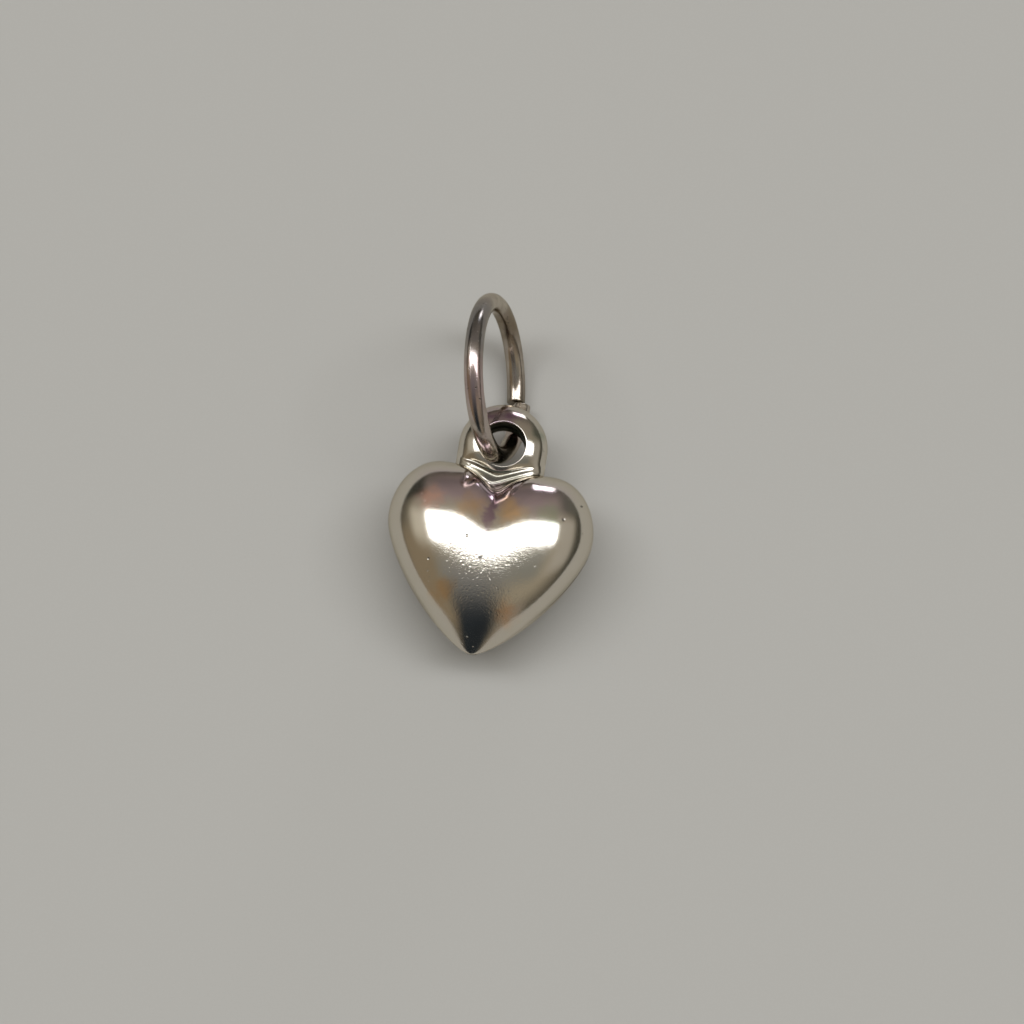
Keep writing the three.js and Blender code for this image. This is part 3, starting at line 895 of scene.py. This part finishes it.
def worn_skin(r, place, wear, satin):
    """The height of the skin: grain, deepest in the satin, plus hair scratches two ways, less specks."""
    grain = r.noise(place, GRAIN_WAVES, 3.0, 0.7)
    depth = r.times(grain, r.plus(r.scale(wear, *GRAIN_WORN), r.times(satin, GRAIN_SATIN)))
    hair = [r.noise(r.spread(place, turn, size), 1.0, 3.0, 0.7) for turn, size in HAIR_WAYS]
    depth = r.plus(depth, r.times(r.plus(*hair), HAIR_DEPTH))
    specks = r.times(r.dots(place, SPECK_WAVES, SPECK_EDGE, SPECK_MIDDLE), satin)
    return r.less(depth, specks)


print("pits are placed at", [pit[:2] for pit in PITS])

# %% The finish itself
PIT_DARK, PIT_AMOUNT, PIT_SINK = (0.10, 0.085, 0.07, 1), 0.75, 2.0
# The recess and dirt colours darken the creases, the groove, the neck's foot and the hole: partly dirt,
# partly painted shade.
RECESS_FILM_AND_SHADE, RECESS_AMOUNT, RECESS_MATT = (0.12, 0.118, 0.08, 1), 0.82, 0.12
DIRT_AND_SHADE, DIRT_AND_SHADE_AMOUNT, DIRT_MATT, DIRT_AND_SHADE_FROM = (0.05, 0.058, 0.042, 1), 0.9, 0.35, (0.86, 0.98)
WEAR_SPOT = (0.1, -1.6, 2.2, 3.2)
SATIN_SQUEEZE, SATIN_SPOT = (0.72, 0.8, 1), (0.1, -1.75, 1.25, 1.7)
POLISH, CLOUDING, CLOUDING_WAVES = (0.11, 0.135), (-0.03, 0.05), 3.0
SKIN_HEIGHT = 8e-6
EDGE_TINT = (0.80, 0.77, 0.70, 1)


def worn_silver():
    """Metal tinted by the film, satin on the crown, dark in the pits, and dark and matt in the creases, as
    dirt plus painted shade.
    """
    material, r = new_finish("worn_silver")
    place = r.millimetres(crown)
    recess = r.node("Attribute", {}, attribute_name="recess").outputs["Fac"]
    dirt_and_shade = r.fade(recess, *DIRT_AND_SHADE_FROM)
    pits = pitting(r, place)
    wear = r.spot(place, *WEAR_SPOT)
    satin = r.spot(r.spread(place, size=SATIN_SQUEEZE), *SATIN_SPOT)
    colour = r.mix(r.times(pits, PIT_AMOUNT), tarnish(r, place), PIT_DARK)
    # Darker in the creases, the groove and the hole: dirt plus painted shade.
    colour = r.mix(r.times(recess, RECESS_AMOUNT), colour, RECESS_FILM_AND_SHADE)
    colour = r.mix(r.times(dirt_and_shade, DIRT_AND_SHADE_AMOUNT), colour, DIRT_AND_SHADE)
    clouded = r.scale(r.noise(place, CLOUDING_WAVES, 3.0), *CLOUDING)
    rough = r.plus(r.scale(wear, *POLISH), clouded)
    rough = r.plus(rough, r.times(recess, RECESS_MATT))
    rough = r.plus(rough, r.times(dirt_and_shade, DIRT_MATT))
    height = r.less(worn_skin(r, place, wear, satin), r.times(pits, PIT_SINK))
    r.surface(Base_Color=colour, Metallic=1.0, Roughness=rough, Normal=r.bump(height, SKIN_HEIGHT),
              Specular_Tint=EDGE_TINT)
    return material


shell_finish = worn_silver()
front_half.data.materials.append(shell_finish)
back_half.data.materials.append(shell_finish)
print("worn silver has", len(shell_finish.node_tree.nodes), "nodes")

# %% [markdown]
# ## Drawn wire for the ring
#
# Wire is pulled through a plate, so its lines run lengthwise. A noise on the object's coordinates would
# run straight across the bend. So the ring's mesh carries the length along the wire and the turn around
# it as numbers on its points, and the noise is stretched along the first. Handling has browned the wire
# in patches, and most of all near its cut, where the darkening is also painted shade that dims a highlight.

# %% The wire's tarnish
WIRE_BRIGHT = (0.60, 0.55, 0.48, 1)
WIRE_BROWN, BROWN_WAVES, BROWN_FROM = (0.40, 0.345, 0.30, 1), 0.9, (0.35, 0.62)
WIRE_MAUVE, MAUVE_WAVES, MAUVE_FROM = (0.52, 0.45, 0.41, 1), 0.55, (0.52, 0.68)
TARNISH_SOFT, UNEVEN_WAVES, UNEVEN = 0.8, 1.6, (0.4, 1.4)
# Each stretch of tarnish: where it starts and stops along the wire in mm, its amount and its colour. The
# last, at the cut, is tarnish and painted shade that dims the highlight there.
WIRE_TARNISH_AND_SHADE = [
    (9.0, 11.4, 0.6, (0.46, 0.33, 0.34, 1)),
    (11.6, 14.6, 0.8, (0.24, 0.235, 0.24, 1)),
    (17.4, 20.0, 0.9, (0.24, 0.19, 0.135, 1)),
    (20.4, 23.0, 0.6, (0.42, 0.36, 0.30, 1)),
    # tarnish and painted shade: darkest at the cut, it dims the highlight there
    (22.8, 24.0, 0.95, (0.17, 0.14, 0.10, 1)),
]


def wire_colour(r, place, along):
    """Bright silver, browner and mauver in patches, with the stretches of tarnish mixed in, the last of
    them also painted shade.
    """
    colour = r.mix(r.fade(r.noise(place, BROWN_WAVES, 2.0), *BROWN_FROM), WIRE_BRIGHT, WIRE_BROWN)
    colour = r.mix(r.fade(r.noise(place, MAUVE_WAVES, 1.0), *MAUVE_FROM), colour, WIRE_MAUVE)
    for start, stop, amount, tint in WIRE_TARNISH_AND_SHADE:
        stretch = r.times(r.fade(along, start - TARNISH_SOFT, start + TARNISH_SOFT),
                          r.fade(along, stop + TARNISH_SOFT, stop - TARNISH_SOFT))
        uneven = r.scale(r.noise(place, UNEVEN_WAVES, 2.0), UNEVEN[0] * amount, UNEVEN[1] * amount)
        colour = r.mix(r.times(stretch, uneven), colour, tint)
    return colour


print("the wire has", len(WIRE_TARNISH_AND_SHADE), "stretches of tarnish")

# %% The wire's finish
LINE_WAVES, LINE_STRETCH, LINE_POLISH = 9.0, 0.12, (0.10, 0.24)
WIRE_SPECK_WAVES, WIRE_SPECK_FROM, WIRE_SPECK_MATT = 7.0, (0.66, 0.74), 0.2
WIRE_GRAIN_WAVES, WIRE_GRAIN = 12.0, 0.5
WIRE_HEIGHT = 3e-6


def drawn_silver():
    """Metal with lines along the wire, and small dark specks sunk into it."""
    material, r = new_finish("drawn_silver")
    place = r.millimetres()
    along = r.node("Attribute", {}, attribute_name="length").outputs["Fac"]
    turn = r.node("Attribute", {}, attribute_name="spin").outputs["Fac"]
    wound = {0: r.math("COSINE", turn), 1: r.math("SINE", turn), 2: r.times(along, LINE_STRETCH)}
    lines = r.noise(r.node("CombineXYZ", wound).outputs[0], LINE_WAVES, 3.0, 0.6)
    specks = r.fade(r.noise(place, WIRE_SPECK_WAVES, 2.0), *WIRE_SPECK_FROM)
    colour = r.mix(specks, wire_colour(r, place, along), PIT_DARK)
    rough = r.plus(r.scale(lines, *LINE_POLISH), r.times(specks, WIRE_SPECK_MATT))
    grain = r.times(r.noise(place, WIRE_GRAIN_WAVES, 3.0), WIRE_GRAIN)
    height = r.less(r.plus(lines, grain), specks)
    r.surface(Base_Color=colour, Metallic=1.0, Roughness=rough, Normal=r.bump(height, WIRE_HEIGHT),
              Specular_Tint=EDGE_TINT)
    return material


wire_finish = drawn_silver()
wire_ring.data.materials.append(wire_finish)
print("drawn silver has", len(wire_finish.node_tree.nodes), "nodes")

# %% [markdown]
# ## Solder and paper
#
# Solder is duller and greyer than the silver round it. The pendant lies on plain paper, with a grain so
# fine that it only keeps the floor from looking like plastic. One flat colour each would nearly do, and a
# fine noise on the object's coordinates is all that is added. Its waves are counted to the metre here.

# %% The solder's finish
SOLDER_DARK, SOLDER_PALE = (0.20, 0.18, 0.15, 1), (0.42, 0.39, 0.33, 1)
SOLDER_WAVES, SOLDER_MATT, SOLDER_HEIGHT = 6000.0, (0.35, 0.55), 4e-6


def dull_solder():
    """Grey metal with a coarse grain."""
    material, r = new_finish("dull_solder")
    grain = r.noise(r.node("TexCoord", {}).outputs["Object"], SOLDER_WAVES, 3.0)
    r.surface(Base_Color=r.mix(grain, SOLDER_DARK, SOLDER_PALE), Metallic=1.0,
              Roughness=r.scale(grain, *SOLDER_MATT), Normal=r.bump(grain, SOLDER_HEIGHT))
    return material


solder_finish = dull_solder()
solder_line.data.materials.append(solder_finish)
print("dull solder has", len(solder_finish.node_tree.nodes), "nodes")

# %% The sheet of paper
PAPER_DARK, PAPER_PALE = (0.432, 0.421, 0.389, 1), (0.460, 0.447, 0.415, 1)
PAPER_WAVES, PAPER_MATT, PAPER_GLOSS = 9000.0, 0.9, 0.2
PAPER_HALF, PAPER_Z = 1.5, -1e-5


def grey_paper():
    """A pale matt sheet with a faint grain."""
    material, r = new_finish("grey_paper")
    grain = r.noise(r.node("TexCoord", {}).outputs["Object"], PAPER_WAVES, 3.0, 0.7)
    colour = r.mix(grain, PAPER_DARK, PAPER_PALE)
    r.surface(Base_Color=colour, Roughness=PAPER_MATT, Specular_IOR_Level=PAPER_GLOSS)
    return material


sheet = bpy.data.meshes.new("paper")
corners = [(x * PAPER_HALF, y * PAPER_HALF, PAPER_Z) for x, y in ((-1, -1), (1, -1), (1, 1), (-1, 1))]
sheet.from_pydata(corners, [], [(0, 1, 2, 3)])
sheet.materials.append(grey_paper())
paper = bpy.data.objects.new("paper", sheet)
bpy.context.scene.collection.objects.link(paper)
print("the paper is", 2 * PAPER_HALF, "m wide")

# %% [markdown]
# ## The camera and the room
#
# Polished metal shows the room more than itself, so the light is most of its looks. One long soft window
# with a bowed lower edge hangs overhead, a strip lamp stands low behind the pendant, the walls are warm
# and dim, and towards the camera the room is dark. Lamps and cards could be built round the pendant, but
# each would have to be aimed. Here all of it is painted on the world by direction: the angle from the
# zenith, split into a part across and a part along the camera's way of looking.

# %% The camera at the photograph's angle
from mathutils import Matrix, Vector

AZIMUTH, ELEVATION = np.radians([8.706, 78])
DISTANCE, AIM_RIGHT, AIM_UP = 150, 1.146, 1.482
FOCAL_WIDTHS = 3105.5 / 1024
CLIP_START, CLIP_END = 0.005, 10

level_way = np.array([np.sin(AZIMUTH), -np.cos(AZIMUTH), 0])
back_way = level_way * np.cos(ELEVATION) + np.array([0, 0, np.sin(ELEVATION)])
right_way = np.array([np.cos(AZIMUTH), np.sin(AZIMUTH), 0])
up_way = np.cross(back_way, right_way)
lens = bpy.data.cameras.new("camera")
lens.lens = lens.sensor_width * FOCAL_WIDTHS
lens.clip_start, lens.clip_end = CLIP_START, CLIP_END
camera = bpy.data.objects.new("camera", lens)
bpy.context.scene.collection.objects.link(camera)
bpy.context.scene.camera = camera
camera_place = crown + DISTANCE * back_way + AIM_RIGHT * right_way + AIM_UP * up_way
turned = Matrix([right_way, up_way, back_way]).transposed().to_4x4()
camera.matrix_world = Matrix.Translation(Vector(camera_place * MM)) @ turned
bpy.context.scene.view_settings.view_transform = "Standard"
print("camera", DISTANCE, "mm away, lens", round(lens.lens, 1), "mm")

# %% Directions and patches of the room
LEAST_LEVEL = 1e-4


def directions(r):
    """The tilt from the zenith in degrees, and its parts across (u) and along (v) the way of looking."""
    way = r.spread(r.node("TexCoord", {}).outputs["Generated"], turn=-AZIMUTH)
    x, y, z = r.node("SeparateXYZ", {0: way}).outputs[:3]
    level = r.math("MAXIMUM", r.math("SQRT", r.plus(r.times(x, x), r.times(y, y))), LEAST_LEVEL)
    tilt = r.math("DEGREES", r.math("ARCCOSINE", z))
    return tilt, r.math("DIVIDE", r.times(tilt, x), level), r.math("DIVIDE", r.times(tilt, y), level)


def patch(r, u, v, sides, soft):
    """1 in a rectangle of directions, given by its left, right, low and high side, with soft edges."""
    left, right, low, high = sides
    across = r.times(r.fade(u, left - soft, left + soft), r.fade(u, right + soft, right - soft))
    along = r.times(r.fade(v, low - soft, low + soft), r.fade(v, high + soft, high - soft))
    return r.times(across, along)


print("the room is painted in degrees from the zenith, turned by", round(float(np.degrees(AZIMUTH)), 3))

# %% The window and the lamp
WINDOW_LIGHT, LAMP_LIGHT = (5.52, 5.68, 5.93, 1), (5.0, 5.0, 5.2, 1)
WINDOW_SIDES, WINDOW_SOFT, WINDOW_SLOPE = (-46, 50, -20, 20.5), 1.5, 0.087
BOW, BOW_ENDS, BOW_EDGE = 5.0, (44, 4), (-0.3, 2.7)
LAMP_SIDES, LAMP_SOFT = (18, 41, 69, 80), 2


def window(r, u, v):
    """A long patch that slopes across, cut off below by an edge that bows up towards the middle."""
    along = r.plus(v, r.times(u, WINDOW_SLOPE))
    bow = r.times(r.fade(r.math("ABSOLUTE", u), *BOW_ENDS), BOW)
    edge = r.fade(r.less(along, bow), *BOW_EDGE)
    return r.times(patch(r, u, along, WINDOW_SIDES, WINDOW_SOFT), edge)


print("the window is", WINDOW_SIDES[1] - WINDOW_SIDES[0], "degrees long")

# %% The walls, and the world itself
CEILING, WALLS, WALLS_FROM = (0.36, 0.32, 0.25, 1), (0.11, 0.10, 0.08, 1), (55, 90)
BEHIND_HIGH, BEHIND_LOW, BEHIND_FROM = (0.345, 0.305, 0.26, 1), (0.16, 0.145, 0.125, 1), (36, 72)
FRONT_HIGH, FRONT_LOW, FRONT_FROM = (0.265, 0.265, 0.265, 1), (0.022, 0.029, 0.037, 1), (-8, -73)
SEEN_BACKDROP = (0.62, 0.61, 0.59, 1)


def room():
    """A world whose colour depends on direction: layers of soft patches, with the lights on top.

    The camera itself sees a plain pale backdrop instead."""
    world = bpy.data.worlds.new("room")
    world.use_nodes = True
    r = Recipe(world.node_tree)
    tilt, u, v = directions(r)
    colour = r.mix(r.fade(tilt, *WALLS_FROM), CEILING, WALLS)
    behind = r.mix(r.fade(v, *BEHIND_FROM), BEHIND_HIGH, BEHIND_LOW)
    front = r.mix(r.fade(v, *FRONT_FROM), FRONT_HIGH, FRONT_LOW)
    layers = [
        ((-90, -38, -95, 10), 12, (0.27, 0.22, 0.155, 1)),  # warm wall on the left
        ((-66, -42, 2, 32), 7, (0.62, 0.58, 0.50, 1)),  # its pale part beside the window
        ((52, 76, -28, 25), 8, (0.435, 0.41, 0.365, 1)),  # pale wall on the right
        ((19, 45, -95, -60), 6, (0.285, 0.243, 0.20, 1)),  # warm corner to the right of the camera
        ((-60, 60, 28, 70), 8, behind),
        ((-84, -46, 44, 88), 7, (0.05, 0.05, 0.042, 1)),  # dark corner behind on the left
        ((52, 88, 30, 82), 9, (0.13, 0.128, 0.11, 1)),  # dim corner behind on the right
        ((77, 110, -60, 60), 7, (0.07, 0.068, 0.056, 1)),  # dark foot of the right wall
        ((-45, 45, -30, -4), 8, (0.25, 0.252, 0.232, 1)),  # grey ceiling on the camera's side
        ((-39, 12, -120, -10), 7, front),
        ((-60, 8, -120, -73), 5, (0.020, 0.025, 0.030, 1)),  # the dark beside the camera, low down
        (LAMP_SIDES, LAMP_SOFT, LAMP_LIGHT),
    ]
    for sides, soft, paint in layers:
        colour = r.mix(patch(r, u, v, sides, soft), colour, paint)
    colour = r.mix(window(r, u, v), colour, WINDOW_LIGHT)
    seen = r.node("LightPath", {}).outputs["Is Camera Ray"]
    background = r.node("Background", {"Color": r.mix(seen, colour, SEEN_BACKDROP), "Strength": 1.0})
    r.node("OutputWorld", {0: background.outputs[0]})
    return world


bpy.context.scene.world = room()
print("the room has", len(bpy.context.scene.world.node_tree.nodes), "nodes")
